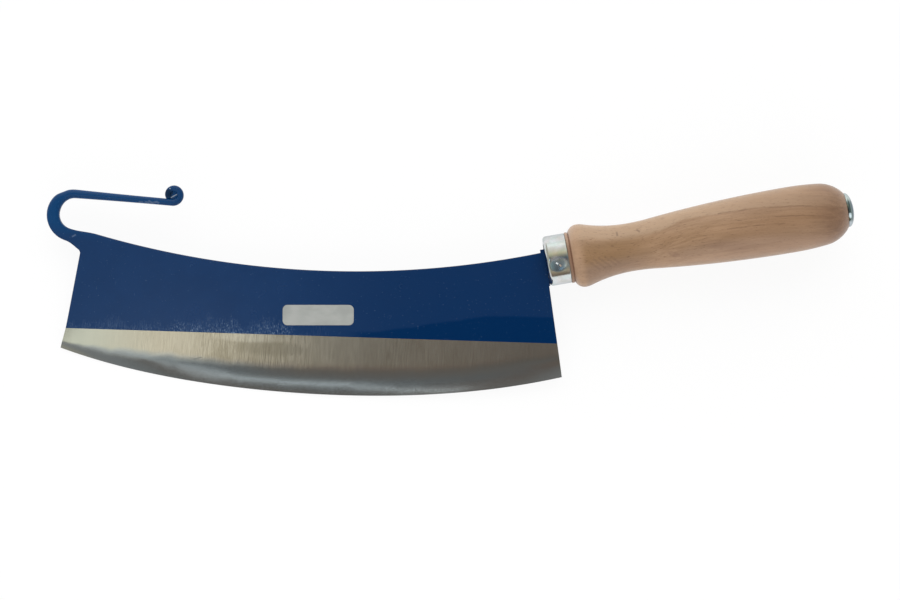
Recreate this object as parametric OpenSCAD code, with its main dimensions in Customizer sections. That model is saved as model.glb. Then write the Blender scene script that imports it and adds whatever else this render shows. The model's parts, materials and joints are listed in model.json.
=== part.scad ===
// Billhook with a bowed edge: one forging makes the blade, the carrying hook and the tang,
// which runs through a turned handle and is riveted over a domed cap at the butt.
//
// Working frame: X runs along the chord of the cutting edge towards the handle, Y from the
// edge towards the spine, Z square to the cheek. Its zero is on the handle's axis at the
// front of the ferrule. lie_down() then lays the whole tool on the table as it rests there.

/* [Blade] */
// Length of the cutting edge from corner to corner
edge_chord = 240; // [200:1:280]
// Radius of the bowed cutting edge
edge_r = 482; // [420:1:700]
// Thickness of the blade
blade_t = 5; // [4:0.1:7]
// Height of the hollow spine above the chord, at its lowest
waist_h = 44; // [40:0.1:50]
// Radius of the hollow spine
spine_r = 444; // [400:1:600]
// Shift of the spine's lowest point from the middle towards the toe
spine_shift = 7; // [0:0.5:15]
// Lean of the toe's end from square to the chord
toe_lean = 8.5; // [4:0.1:12]
// Lean of the heel's end from square to the chord
heel_lean = 11.3; // [9:0.1:12]

/* [Grind] */
// Height of the grind line above the chord at the toe
grind_toe_h = 9.5; // [9:0.1:16]
// Height of the grind line above the chord at the heel
grind_heel_h = 16; // [9:0.1:24]
// Width of the honed band along the edge
band_w = 6.5; // [4:0.1:7.5]
// Thickness of the blade where the honed band starts
band_t = 1.6; // [1:0.1:3]
// Steepest slope of the grind above the band, where the toe leaves it little room
grind_slope = 12; // [8:0.5:20]
// Thickness left at the cutting edge
edge_t = 0.3; // [0.2:0.05:0.6]

/* [Hook] */
// Distance from the toe's corner to where the spine runs into the hook
root_in = 9; // [7:0.1:12]
// Drop from the spine to the corner at the top of the toe's end
root_drop = 9.8; // [8:0.1:14]
// Rounding of that corner
corner_r = 1.3; // [0.8:0.1:2]
// Width of the bar at the root and round the bend
bar_w = 6.1; // [5:0.1:7]
// Radius of the bend, at the middle of the bar
bend_r = 9.95; // [8:0.05:14]
// Distance from the root to the bend's centre
bend_out = 6.3; // [4:0.1:8]
// Rise of the bar from the root to the start of the bend
bend_rise = 0.6; // [0:0.1:1]
// Step from the blade's cheek down to the bar's
bar_step = 0.1; // [0.05:0.05:0.3]
// Width of the bar where the arm starts
arm_w = 4.2; // [3.5:0.1:5]
// Length of the straight arm
arm_l = 46.5; // [30:0.1:60]
// Fall of the arm towards the scroll
arm_fall = 1.7; // [0:0.1:4]
// Width of the round bar where the scroll starts
scroll_w = 3.3; // [2.6:0.1:3.4]
// Width of the bar at the scroll's tip
tip_w = 2.8; // [2:0.1:3]
// Radius of the scroll where it starts, at the middle of the bar
scroll_r = 3.7; // [3.5:0.05:5]
// Radius of the scroll at its tip
scroll_tip_r = 2.6; // [2.4:0.1:3.2]
// Turn of the scroll from the arm to its tip
scroll_turn = 282; // [200:1:284]
// Radius of the tip's folded end, which fills the eye of the scroll
eye_r = 1.8; // [1.6:0.1:2]

/* [Hang of the blade] */
// Angle between the handle's axis and the chord of the edge
hang_angle = 13.1; // [12:0.1:15]
// Drop from the ferrule's centre to the chord of the edge
heel_drop = 54.7; // [50:0.1:60]
// Distance the heel's corner reaches past the ferrule's centre, along the chord
heel_reach = 10.8; // [10:0.1:12]

/* [Shoulder and tang] */
// Length of the shoulder along the handle's axis
shoulder_l = 1.9; // [1.6:0.1:4]
// Height of the shoulder above the handle's axis, towards the spine
shoulder_up = 6; // [5.5:0.1:9]
// Depth of the shoulder below the handle's axis, towards the edge
shoulder_down = 11.8; // [9:0.1:12]
// Width of the tang at the shoulder
tang_w = 12; // [9:0.1:14]
// Width of the tang where it turns into the round stem
tang_end_w = 6.4; // [6:0.1:8]
// Length of the flat tang
tang_l = 104; // [80:1:110]
// Thickness of the tang, drawn thinner than the blade
tang_t = 4.4; // [3.4:0.1:4.8]
// Radius of the round stem at the end of the tang
stem_r = 2.6; // [2:0.1:3]
// Clearance round the tang and the stem
tang_gap = 0.15; // [0.1:0.05:0.4]

/* [Ferrule] */
// Length of the ferrule
ferrule_l = 10.5; // [9:0.1:16]
// Outer radius of the ferrule
ferrule_r = 12; // [11:0.1:13]
// Wall of the ferrule
ferrule_wall = 1.2; // [0.8:0.1:1.8]
// Radius of the rolled front edge
lip_r = 1.7; // [1:0.1:2.4]
// Radius of the opening in the ferrule's front
mouth_r = 8.6; // [8.2:0.1:9]
// Radius of the round punch that dented the wall into the wood
dent_r = 9.2; // [6:0.1:12]
// Depth of the dent
dent_depth = 0.8; // [0.4:0.1:1]
// Distance of the dent from the ferrule's front
dent_at = 5.8; // [5:0.1:6.5]
// Turn of the dent from the cheek's side towards the edge
dent_turn = 9; // [0:1:40]
// Clearance between the ferrule and the wood
ferrule_gap = 0.1; // [0.05:0.05:0.3]

/* [Handle] */
// Length of the wooden collar behind the ferrule
collar_l = 1.9; // [1:0.1:4]
// Height of the collar above the ferrule
collar_step = 0.2; // [0.1:0.1:1]
// Radius of the front swell
swell_r = 15.1; // [14:0.1:16]
// Rounding of the swell towards the ferrule
swell_front_arc = 4.9; // [4:0.1:8]
// Rounding of the swell towards the neck
swell_back_arc = 10.8; // [6:0.1:16]
// Radius of the neck
neck_r = 11.5; // [10:0.1:13]
// Hollow of the neck towards the swell
neck_front_arc = 68; // [50:1:90]
// Hollow of the neck towards the belly
neck_back_arc = 105; // [80:1:140]
// Radius of the belly
belly_r = 15.7; // [14.5:0.1:18]
// Long rounding of the belly towards the neck
belly_arc = 630; // [550:5:700]
// Rounding of the belly towards the butt
haunch_arc = 130; // [100:1:160]
// Turn of the haunch before the butt's own rounding
haunch_turn = 6.8; // [4:0.1:8]
// Rounding of the butt
butt_arc = 16.2; // [14:0.1:22]
// Radius of the flat face at the butt
butt_r = 8.4; // [8.2:0.1:10]

/* [Butt cap] */
// Radius of the cap
cap_r = 8.2; // [7:0.1:8.2]
// Height of the cap's straight rim
rim_h = 0.5; // [0.4:0.1:1]
// Height of the dome at its middle
cap_h = 3.6; // [3:0.1:4.4]
// Radius of the riveted head
rivet_r = 4; // [3.6:0.1:5]
// Height of the riveted head's crown
rivet_h = 0.1; // [0.05:0.05:0.5]

/* [Hidden] */
$fn = 96;
long_arc_fn = 720;

// Steps of the ruled bevels, the swept hook and the turned profiles
bevel_steps = 40;
bend_steps = 24;
arm_steps = 8;
scroll_steps = 34;
tip_steps = 3;
bar_sides = 20;
arc_steps = 10;

// Length of a cutter past the face that it cuts
over = 2;

// Corners of the edge, and the centres of the arcs of the edge and the spine
heel = [heel_reach, -heel_drop];
toe = heel - [edge_chord, 0];
mid_x = (heel.x + toe.x) / 2;
edge_c = [mid_x, heel.y + sqrt(edge_r * edge_r - edge_chord * edge_chord / 4)];
spine_c = [mid_x - spine_shift, heel.y + waist_h + spine_r];

// Heights at a place along the chord: the edge, the honed band's start, the spine, the grind line
function under(centre, r, x) = centre.y - sqrt(r * r - pow(x - centre.x, 2));
function edge_y(x) = under(edge_c, edge_r, x);
function band_y(x) = under(edge_c, edge_r - band_w, x);
function spine_y(x) = under(spine_c, spine_r, x);
function grind_y(x) = heel.y + grind_toe_h + (grind_heel_h - grind_toe_h) * (x - toe.x) / edge_chord;

// Where the spine runs into the hook, the corner at the top of the toe's end, the bend's centre
root = [toe.x + root_in, spine_y(toe.x + root_in)];
toe_top_h = root.y - root_drop - toe.y;
toe_top = toe + toe_top_h * [tan(toe_lean), 1];
bend_c = root + [-bend_out, bend_r - bar_w / 2 + bend_rise];
bar_t = blade_t - 2 * bar_step;

// Web under the root: it ends a little inside the bar, this far round from the bend's lowest point
web_turn = 15;
web_r = bend_r + 0.4 * bar_w;
web = bend_c - web_r * [sin(web_turn), cos(web_turn)];

// Rounded corner between the toe's end and the web
function unit(v) = v / norm(v);
corner_out = unit(unit(web - toe_top) + unit(toe - toe_top));
corner_half = acos(unit(web - toe_top) * unit(toe - toe_top)) / 2;
corner_c = toe_top + corner_r / sin(corner_half) * corner_out;
corner_a = atan2(-corner_out.y, -corner_out.x);

// Turned profile of the handle: the angles where its arcs meet and the stations along its axis
collar_r = ferrule_r + collar_step;
spigot_r = ferrule_r - ferrule_wall - ferrule_gap;
swell_face = acos((collar_r - swell_r + swell_front_arc) / swell_front_arc);
swell_turn = acos(1 - (swell_r - neck_r) / (swell_back_arc + neck_front_arc));
belly_turn = acos(1 - (belly_r - neck_r) / (neck_back_arc + belly_arc));
haunch_r = belly_r - haunch_arc * (1 - cos(haunch_turn));
butt_turn = acos(cos(haunch_turn) - (haunch_r - butt_r) / butt_arc);
collar_s = ferrule_l + collar_l;
swell_s = collar_s + swell_front_arc * sin(swell_face);
neck_s = swell_s + (swell_back_arc + neck_front_arc) * sin(swell_turn);
belly_s = neck_s + (neck_back_arc + belly_arc) * sin(belly_turn);
butt_s = belly_s + haunch_arc * sin(haunch_turn) + butt_arc * (sin(butt_turn) - sin(haunch_turn));
butt_c = [butt_s - butt_arc * sin(butt_turn), butt_r - butt_arc * cos(butt_turn)];

// Dome of the butt cap, half an ellipse, and the countersink that the riveted head fills
dome_rise = cap_h - rim_h;
function dome_s(r) = butt_s + rim_h + dome_rise * sqrt(1 - pow(r / cap_r, 2));
sink_s = dome_s(rivet_r) - (rivet_r - stem_r);

// How the tool lies: on the swell of the handle, the bowed edge and the toe's end of the grind
// line. Each pass takes the lowest points for the last tilt and lays the table through them.
handle_way = [cos(hang_angle), sin(hang_angle), 0];
grind_end_x = toe.x + grind_toe_h * tan(toe_lean);
grind_end = [grind_end_x, grind_y(grind_end_x), -blade_t / 2];
function table_up(tilt) = unit([tilt.x, tilt.y, 1]);
function edge_low(tilt) = [edge_c.x, edge_c.y, -edge_t / 2] - edge_r * unit([tilt.x, tilt.y, 0]);
function swell_low(tilt) =
    let (up = table_up(tilt), out = up - (up * handle_way) * handle_way)
    swell_s * handle_way - (swell_r - swell_front_arc) * unit(out) - swell_front_arc * up;
function tilt_through(p, q, r) = let (n = cross(q - p, r - p)) [n.x, n.y] / n.z;
function settle(tilt, passes) =
    passes == 0 ? tilt : settle(tilt_through(grind_end, swell_low(tilt), edge_low(tilt)), passes - 1);
tilt = settle([0, 0.1], 8);
up_way = table_up(tilt);
roll = atan(tilt.y);
pitch = -asin(up_way.x);

// Middle of the lying tool: from the hook's bend to the cap's dome, from the edge to the butt
along_way = [cos(pitch), sin(pitch) * sin(roll), sin(pitch) * cos(roll)];
across_way = [0, cos(roll), -sin(roll)];
function reach(way, s, r) = let (lean = way * handle_way) s * lean + r * sqrt(1 - lean * lean);
bend_end = along_way * [bend_c.x - bend_r - bar_w / 2, bend_c.y, 0];
dome_lean = along_way * handle_way;
dome_side = sqrt(1 - dome_lean * dome_lean);
dome_end = (butt_s + rim_h) * dome_lean + norm([dome_rise * dome_lean, cap_r * dome_side]);
edge_side = across_way * [edge_c.x, edge_c.y - edge_r, edge_t / 2];
butt_side = reach(across_way, butt_c.x, butt_c.y) + butt_arc;
lie_at = [(bend_end + dome_end) / 2, (edge_side + butt_side) / 2, up_way * grind_end];

// Points on an arc from one angle to another
function arc(centre, r, from, to, steps = arc_steps) =
    [for (i = [0:steps]) let (a = from + (to - from) * i / steps) centre + r * [cos(a), sin(a)]];

// A smooth ramp from 0 to 1
function ramp(u) = let (v = max(0, min(1, u))) v * v * (3 - 2 * v);

// Closed solid through a row of rings that have the same number of points
module skin(rings) {
    sides = len(rings[0]);
    last = len(rings) - 1;
    walls = [
        for (i = [0:last - 1], j = [0:sides - 1])
            let (a = i * sides + j, b = i * sides + (j + 1) % sides)
                each [[a, b, b + sides], [a, b + sides, a + sides]]
    ];
    first_cap = [for (j = [sides - 1:-1:0]) j];
    last_cap = [for (j = [0:sides - 1]) last * sides + j];
    polyhedron([for (ring = rings) each ring], [each walls, first_cap, last_cap]);
}

// Lays the tool on its side, with the table at zero height and the origin under its middle
module lie_down() {
    translate(-lie_at) rotate([roll, pitch, 0]) children();
}

// Puts a piece that is drawn along +X on the handle's axis
module on_axis() {
    rotate(hang_angle) children();
}

// Turns a profile of [station, radius] points about +X
module turned(profile) {
    rotate([0, 90, 0]) rotate_extrude() polygon([for (p = profile) [p.y, p.x]]);
}

// Outline of the plate: two arcs between the leaning ends, open at the top for the hook's bar
module plate_outline() {
    tall = heel_drop + 2 * shoulder_up;
    deep = edge_chord / 4;
    difference() {
        intersection() {
            translate(edge_c) circle(edge_r, $fn = long_arc_fn);
            polygon([
                heel + tall * [-tan(heel_lean), 1],
                heel + deep * [tan(heel_lean), -1],
                toe - deep * [tan(toe_lean), 1],
                each arc(corner_c, corner_r, corner_a - 90 + corner_half, corner_a + 90 - corner_half),
                web,
                bend_c - [0, bend_r],
                root + [bend_out, bar_w / 2],
                root + [bend_out, tall]
            ]);
        }
        translate(spine_c) circle(spine_r, $fn = long_arc_fn);
        on_axis() translate([0, -shoulder_down]) square(tall);
    }
}

// Ruled cutter for the upper cheek: from the grind line to the honed band and on to the edge
module bevel() {
    top = blade_t / 2 + over;
    function band_half(x) =
        max(band_t / 2, blade_t / 2 - (grind_y(x) - band_y(x)) * tan(grind_slope));
    function past(x) = edge_t / 2 - (band_half(x) - edge_t / 2) * over / band_w;
    function section(x) = [
        [x, grind_y(x), top],
        [x, grind_y(x), blade_t / 2],
        [x, band_y(x), band_half(x)],
        [x, edge_y(x), edge_t / 2],
        [x, edge_y(x) - over, past(x)],
        [x, edge_y(x) - over, top]
    ];
    span = edge_chord + 2 * over;
    skin([for (i = [0:bevel_steps]) section(toe.x - over + span * i / bevel_steps)]);
}

// Ring of the hook's bar at a point, square to its heading: flat 2 is round, more is squarer
function bar_ring(at, heading, w, t, flat) = [
    for (j = [0:bar_sides - 1])
        let (
            a = -360 * j / bar_sides,
            side = sign(cos(a)) * pow(abs(cos(a)), 2 / flat) * w / 2,
            rise = sign(sin(a)) * pow(abs(sin(a)), 2 / flat) * t / 2
        )
        [at.x - side * sin(heading), at.y + side * cos(heading), rise]
];

// Carrying hook: a bar drawn out of the toe, bent back over the spine and rolled into a scroll
module hook() {
    round_bar = 2;
    flat_root = 4;
    root_depth = bar_w / 2;
    root_dip = 0.3;
    taper_from = 0.55;
    tip_round = 75;
    bend_turn = 180 + arm_fall;
    arm_start = bend_c + bend_r * [sin(arm_fall), cos(arm_fall)];
    arm_way = [cos(arm_fall), -sin(arm_fall)];
    scroll_c = arm_start + arm_l * arm_way + scroll_r * [sin(arm_fall), cos(arm_fall)];

    root_rings = [
        for (in = [root_depth, -root_depth / 4])
            bar_ring(root + [in, -bar_w / 2 - root_dip * in], 180, bar_w, bar_t, flat_root)
    ];
    bend_rings = [
        for (i = [0:bend_steps])
            let (
                u = i / bend_steps,
                a = 270 - bend_turn * u,
                drawn = ramp((u - taper_from) / (1 - taper_from))
            )
            bar_ring(bend_c + bend_r * [cos(a), sin(a)], a - 90,
                bar_w + (arm_w - bar_w) * drawn,
                bar_t + (arm_w - bar_t) * drawn,
                flat_root + (round_bar - flat_root) * u)
    ];
    arm_rings = [
        for (i = [1:arm_steps])
            let (u = i / arm_steps, w = scroll_w + (arm_w - scroll_w) * pow(1 - u, 2))
            bar_ring(arm_start + arm_l * u * arm_way, -arm_fall, w, w, round_bar)
    ];
    function scroll_at(u) =
        let (a = scroll_turn * u - arm_fall - 90)
        scroll_c + (scroll_r + (scroll_tip_r - scroll_r) * u) * [cos(a), sin(a)];
    scroll_rings = [
        for (i = [1:scroll_steps])
            let (u = i / scroll_steps, w = scroll_w + (tip_w - scroll_w) * u)
            bar_ring(scroll_at(u), scroll_turn * u - arm_fall, w, w, round_bar)
    ];
    tip_heading = scroll_turn - arm_fall;
    tip_rings = [
        for (i = [1:tip_steps])
            let (a = tip_round * i / tip_steps)
            bar_ring(scroll_at(1) + tip_w / 2 * sin(a) * [cos(tip_heading), sin(tip_heading)],
                tip_heading, tip_w * cos(a), tip_w * cos(a), round_bar)
    ];
    skin([each root_rings, each bend_rings, each arm_rings, each scroll_rings, each tip_rings]);
    translate(scroll_c) sphere(eye_r);
}

// Outline of the flat tang along the handle's axis, with a gap all round
module tang_outline(gap = 0) {
    polygon([
        [-shoulder_l / 2, tang_w / 2 + gap],
        [-shoulder_l / 2, -tang_w / 2 - gap],
        [tang_l + gap, -tang_end_w / 2 - gap],
        [tang_l + gap, tang_end_w / 2 + gap]
    ]);
}

// Outline of the shoulder that seats on the ferrule's front
module shoulder_outline() {
    translate([-shoulder_l, -shoulder_down]) square([shoulder_l, shoulder_up + shoulder_down]);
}

// Round stem with its end riveted into the cap's countersink
module stem() {
    crown = [
        for (i = [0:arc_steps])
            let (r = rivet_r * (1 - i / arc_steps))
            [dome_s(r) + rivet_h * (1 - pow(r / rivet_r, 2)), r]
    ];
    turned([
        [tang_l - over, 0],
        [tang_l - over, stem_r],
        [sink_s, stem_r],
        each crown
    ]);
}

// The forging: plate with two bevels on each cheek, hook, shoulder, tang and riveted stem
module blade() {
    color("#1d3672") lie_down() {
        difference() {
            linear_extrude(blade_t, center = true) plate_outline();
            bevel();
            mirror([0, 0, 1]) bevel();
        }
        hook();
        on_axis() {
            linear_extrude(blade_t, center = true) shoulder_outline();
            linear_extrude(tang_t, center = true) tang_outline();
            stem();
        }
    }
}

// Ball of the punch, grown by the wall or the clearance that it pushes ahead of it
module punch(grow = 0) {
    rotate([dent_turn, 0, 0])
        translate([dent_at, 0, ferrule_r - dent_depth + dent_r])
            sphere(dent_r + grow);
}

// Pressed cup round the front of the handle, open for the tang and dented into the wood
module ferrule() {
    color("#c3c7c9") lie_down() on_axis() difference() {
        turned([
            [0, 0],
            each arc([lip_r, ferrule_r - lip_r], lip_r, 180, 90),
            [ferrule_l, ferrule_r],
            [ferrule_l, 0]
        ]);
        difference() {
            turned([
                [ferrule_wall, 0],
                [ferrule_wall, ferrule_r - lip_r],
                [lip_r, ferrule_r - ferrule_wall],
                [ferrule_l + over, ferrule_r - ferrule_wall],
                [ferrule_l + over, 0]
            ]);
            punch(ferrule_wall);
        }
        turned([[-over, 0], [-over, mouth_r], [ferrule_l, mouth_r], [ferrule_l, 0]]);
        punch();
    }
}

// Turned grip with a spigot for the ferrule, bored through for the tang and the stem
module handle() {
    swell_c = swell_r - swell_back_arc;
    front_c = swell_r - swell_front_arc;
    color("#c49a76") lie_down() on_axis() difference() {
        turned([
            [ferrule_wall + ferrule_gap, 0],
            [ferrule_wall + ferrule_gap, ferrule_r - lip_r - ferrule_gap],
            [lip_r + ferrule_gap, spigot_r],
            [ferrule_l + ferrule_gap, spigot_r],
            [ferrule_l + ferrule_gap, collar_r],
            each arc([swell_s, front_c], swell_front_arc, 90 + swell_face, 90),
            each arc([swell_s, swell_c], swell_back_arc, 90, 90 - swell_turn),
            each arc([neck_s, neck_r + neck_front_arc], neck_front_arc, 270 - swell_turn, 270),
            each arc([neck_s, neck_r + neck_back_arc], neck_back_arc, 270, 270 + belly_turn),
            each arc([belly_s, belly_r - belly_arc], belly_arc, 90 + belly_turn, 90),
            each arc([belly_s, belly_r - haunch_arc], haunch_arc, 90, 90 - haunch_turn),
            each arc(butt_c, butt_arc, 90 - haunch_turn, 90 - butt_turn),
            [butt_s, 0]
        ]);
        linear_extrude(tang_t + 2 * tang_gap, center = true) tang_outline(tang_gap);
        turned([
            [tang_l - over, 0],
            [tang_l - over, stem_r + tang_gap],
            [butt_s + over, stem_r + tang_gap],
            [butt_s + over, 0]
        ]);
        punch(ferrule_wall + ferrule_gap);
    }
}

// Domed washer that the stem is riveted over
module butt_cap() {
    dome = [
        for (i = [0:2 * arc_steps])
            let (r = cap_r * cos(45 * i / arc_steps))
            [dome_s(r), r]
    ];
    color("#b9bec2") lie_down() on_axis() difference() {
        turned([
            [butt_s, 0],
            [butt_s, cap_r],
            each dome
        ]);
        turned([
            [butt_s - over, 0],
            [butt_s - over, stem_r + tang_gap],
            [sink_s, stem_r + tang_gap],
            [dome_s(rivet_r) + over, rivet_r + tang_gap + over],
            [dome_s(rivet_r) + over, 0]
        ]);
    }
}

blade();
ferrule();
handle();
butt_cap();
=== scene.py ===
"""Looks of a billhook with a bowed edge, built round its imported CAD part.

The CAD part lies on the table, in metres. The pieces here are drawn in millimetres, in the tool's
own frame: X along the chord of the edge towards the handle, Y from the edge to the spine, Z square
to the cheek, zero on the handle's axis at the ferrule's front. Turned pieces are drawn in the axis
frame, which is the tool frame turned by the hang of the handle. Both are laid where the part's own
mounts say that the tool lies.
"""

import json
from math import acos, atan2, copysign, cos, exp, hypot, pi, radians, sin, sqrt, tan

import bmesh
import bpy
from mathutils import Matrix, Vector


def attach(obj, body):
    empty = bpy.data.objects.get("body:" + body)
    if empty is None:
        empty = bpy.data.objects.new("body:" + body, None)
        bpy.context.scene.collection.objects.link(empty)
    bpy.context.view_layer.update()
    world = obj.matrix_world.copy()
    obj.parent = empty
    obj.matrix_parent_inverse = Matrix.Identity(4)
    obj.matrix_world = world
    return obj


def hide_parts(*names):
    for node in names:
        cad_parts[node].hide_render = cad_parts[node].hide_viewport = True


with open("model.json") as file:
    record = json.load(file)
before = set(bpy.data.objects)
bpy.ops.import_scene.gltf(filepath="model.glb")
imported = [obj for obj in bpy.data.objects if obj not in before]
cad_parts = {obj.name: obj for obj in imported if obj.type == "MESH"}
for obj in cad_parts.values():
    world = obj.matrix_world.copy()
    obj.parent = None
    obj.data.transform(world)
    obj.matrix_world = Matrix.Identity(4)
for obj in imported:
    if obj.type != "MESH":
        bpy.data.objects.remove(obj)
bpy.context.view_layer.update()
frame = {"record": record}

MM = 0.001
RIGHT = pi / 2
CORNERS = ((1, 1), (-1, 1), (-1, -1), (1, -1))

# Sizes of the part in millimetres, and its angles, as its solids have them
EDGE_CHORD, EDGE_R, BLADE_T = 240, 482, 5
WAIST_H, SPINE_R, SPINE_SHIFT = 44, 444, 7
TOE_LEAN, HEEL_LEAN = radians(8.5), radians(11.3)
GRIND_TOE_H, GRIND_HEEL_H, EDGE_T = 9.5, 16, 0.3
ROOT_IN, ROOT_DROP = 9, 9.8
BAR_W, BAR_T, BEND_R, BEND_OUT, BEND_RISE = 6.1, 4.8, 9.95, 6.3, 0.6
ARM_W, ARM_L, ARM_FALL = 4.2, 46.5, radians(1.7)
SCROLL_W, TIP_W, SCROLL_R, SCROLL_TIP_R = 3.3, 2.8, 3.7, 2.6
HANG, HEEL_DROP, HEEL_REACH = radians(13.1), 54.7, 10.8
SHOULDER_L, SHOULDER_UP, SHOULDER_DOWN = 1.9, 6, 11.8
TANG_W, TANG_END_W, TANG_L, TANG_T, STEM_R = 12, 6.4, 104, 4.4, 2.6
FERRULE_L, FERRULE_R, FERRULE_WALL, LIP_R, MOUTH_R = 10.5, 12, 1.2, 1.7, 8.6
COLLAR_L, COLLAR_R, FIT_GAP = 1.9, 12.2, 0.1
SWELL_R, SWELL_FRONT_ARC, SWELL_BACK_ARC = 15.1, 4.9, 10.8
NECK_R, NECK_FRONT_ARC, NECK_BACK_ARC = 11.5, 68, 105
BELLY_R, BELLY_ARC, HAUNCH_ARC, HAUNCH_TURN = 15.7, 630, 130, radians(6.8)
BUTT_ARC, BUTT_R = 16.2, 8.4
CAP_R, RIM_H, CAP_H, RIVET_R, RIVET_H = 8.2, 0.5, 3.6, 4, 0.1
HALF_T = BLADE_T / 2

# Closer to the photograph than the solids: a fuller bow of the edge, a step at the toe, a rounder
# corner at the web, a scroll that turns further round a flat eye, a wider and deeper dent
BOW_TOE, BOW_HEEL, BOW_MIDDLE, TOE_STEP = 0.7, 0.4, -0.18, 0.7
CORNER_R, SCROLL_TURN = 2.1, radians(291)
EYE_R, EYE_HALF_T = 2.6, 0.6
DENT_R, DENT_DEPTH, DENT_AT, DENT_TURN = 11, 0.9, 5.2, radians(12)

# Where the photograph shows things: its scale at the blade, the tool's zero, its turn
PHOTO_SCALE = 0.478
PHOTO_ZERO, PHOTO_MIDDLE = Vector((546, 261.6)), Vector((450, 300))
PHOTO_WIDTH = 900
PHOTO_TURN = radians(3.37)
CAMERA_AWAY = 1.6
SENSOR_W = 36


def photo_point(px, py, rise=0):
    """Point of the tool frame, in millimetres, that the photograph shows at a pixel, at a height."""
    nearer = 1 - rise * MM / CAMERA_AWAY
    x, y = PHOTO_MIDDLE - PHOTO_ZERO + nearer * (Vector((px, py)) - PHOTO_MIDDLE)
    return PHOTO_SCALE * Vector((x, -y)) @ Matrix.Rotation(-PHOTO_TURN, 2)


# Corners of the edge, the arcs of the edge and the spine, the grind line
heel = Vector((HEEL_REACH, -HEEL_DROP))
toe = heel - Vector((EDGE_CHORD, 0))
mid_x = (heel.x + toe.x) / 2
edge_c = Vector((mid_x, heel.y + sqrt(EDGE_R ** 2 - EDGE_CHORD ** 2 / 4)))
spine_c = Vector((mid_x - SPINE_SHIFT, heel.y + WAIST_H + SPINE_R))
grind_rise = (GRIND_HEEL_H - GRIND_TOE_H) / EDGE_CHORD
toe_grind_h = GRIND_TOE_H / (1 - grind_rise * tan(TOE_LEAN))
heel_grind_h = GRIND_HEEL_H / (1 + grind_rise * tan(HEEL_LEAN))
toe_grind = toe + toe_grind_h * Vector((tan(TOE_LEAN), 1)) + Vector((TOE_STEP, 0))
heel_grind = heel + heel_grind_h * Vector((-tan(HEEL_LEAN), 1))


def under(centre, r, x):
    """Height of the lower side of a circle at a place along the chord."""
    return centre.y - sqrt(r * r - (x - centre.x) ** 2)


def edge_y(x):
    """Height of the cutting edge at a place along the chord."""
    u = 2 * (x - mid_x) / EDGE_CHORD
    flank = (BOW_TOE + BOW_HEEL) / 2 + u * (BOW_HEEL - BOW_TOE) / 2
    return under(edge_c, EDGE_R, x) - 4 * flank * u * u * (1 - u * u) - BOW_MIDDLE * (1 - u * u) ** 2


# Root of the hook, the corner at the top of the toe's end, the bend, the arm and the scroll
root = Vector((toe.x + ROOT_IN, under(spine_c, SPINE_R, toe.x + ROOT_IN)))
toe_top = toe + (root.y - ROOT_DROP - toe.y) * Vector((tan(TOE_LEAN), 1))
bend_c = root + Vector((-BEND_OUT, BEND_R - BAR_W / 2 + BEND_RISE))
bend_start = 3 * RIGHT
bend_end = RIGHT - ARM_FALL
arm_way = Vector((cos(ARM_FALL), -sin(ARM_FALL)))
arm_side = Vector((sin(ARM_FALL), cos(ARM_FALL)))
arm_start = bend_c + BEND_R * arm_side
scroll_c = arm_start + ARM_L * arm_way + SCROLL_R * arm_side

# Stations of the turned handle
swell_face = acos((COLLAR_R - SWELL_R + SWELL_FRONT_ARC) / SWELL_FRONT_ARC)
swell_turn = acos(1 - (SWELL_R - NECK_R) / (SWELL_BACK_ARC + NECK_FRONT_ARC))
belly_turn = acos(1 - (BELLY_R - NECK_R) / (NECK_BACK_ARC + BELLY_ARC))
haunch_r = BELLY_R - HAUNCH_ARC * (1 - cos(HAUNCH_TURN))
butt_turn = acos(cos(HAUNCH_TURN) - (haunch_r - BUTT_R) / BUTT_ARC)
collar_s = FERRULE_L + COLLAR_L
swell_s = collar_s + SWELL_FRONT_ARC * sin(swell_face)
neck_s = swell_s + (SWELL_BACK_ARC + NECK_FRONT_ARC) * sin(swell_turn)
belly_s = neck_s + (NECK_BACK_ARC + BELLY_ARC) * sin(belly_turn)
haunch_s = belly_s + HAUNCH_ARC * sin(HAUNCH_TURN)
butt_s = haunch_s + BUTT_ARC * (sin(butt_turn) - sin(HAUNCH_TURN))
butt_c = Vector((butt_s - BUTT_ARC * sin(butt_turn), BUTT_R - BUTT_ARC * cos(butt_turn)))


def dome_s(r):
    """Station of the cap's dome, half an ellipse, at a radius."""
    return butt_s + RIM_H + (CAP_H - RIM_H) * sqrt(1 - (r / CAP_R) ** 2)


# The tool frame and the axis frame in the row frame, from the part's mounts
mounts = {mount["name"]: mount for mount in frame["record"]["mounts"]}
cheek_way = Vector(mounts["cheek"]["axis"]).normalized()
grip_way = Vector(mounts["grip"]["axis"]).normalized()
tool_x = grip_way * cos(HANG) - cheek_way.cross(grip_way) * sin(HANG)
tool_y = cheek_way.cross(tool_x)
grip_s = (swell_s + butt_s) / 2
tool_zero = Vector(mounts["grip"]["pos_m"]) - grip_way * grip_s * MM
tool_turn = Matrix((tool_x, tool_y, cheek_way)).transposed().to_4x4()
tool_place = Matrix.Translation(tool_zero) @ tool_turn @ Matrix.Scale(MM, 4)
axis_place = tool_place @ Matrix.Rotation(HANG, 4, "Z")


def axis_to_tool(s, t):
    """Tool-frame point at a station along the handle's axis and a distance across it."""
    return Vector((s, t)) @ Matrix.Rotation(-HANG, 2)


def ramp(u):
    """A smooth ramp from 0 to 1."""
    v = max(0, min(1, u))
    return v * v * (3 - 2 * v)


def mix(a, b, u):
    """Value between a and b."""
    return a + (b - a) * u


def bell(u, middle, spread):
    """A bell of height 1 about a middle."""
    return exp(-((u - middle) / spread) ** 2)


def heading(angle):
    """Unit vector at an angle."""
    return Vector((cos(angle), sin(angle)))


def arc(centre, r, start, end, steps):
    """Points on an arc from one angle to another."""
    return [Vector(centre) + r * heading(mix(start, end, i / steps)) for i in range(steps + 1)]


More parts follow.
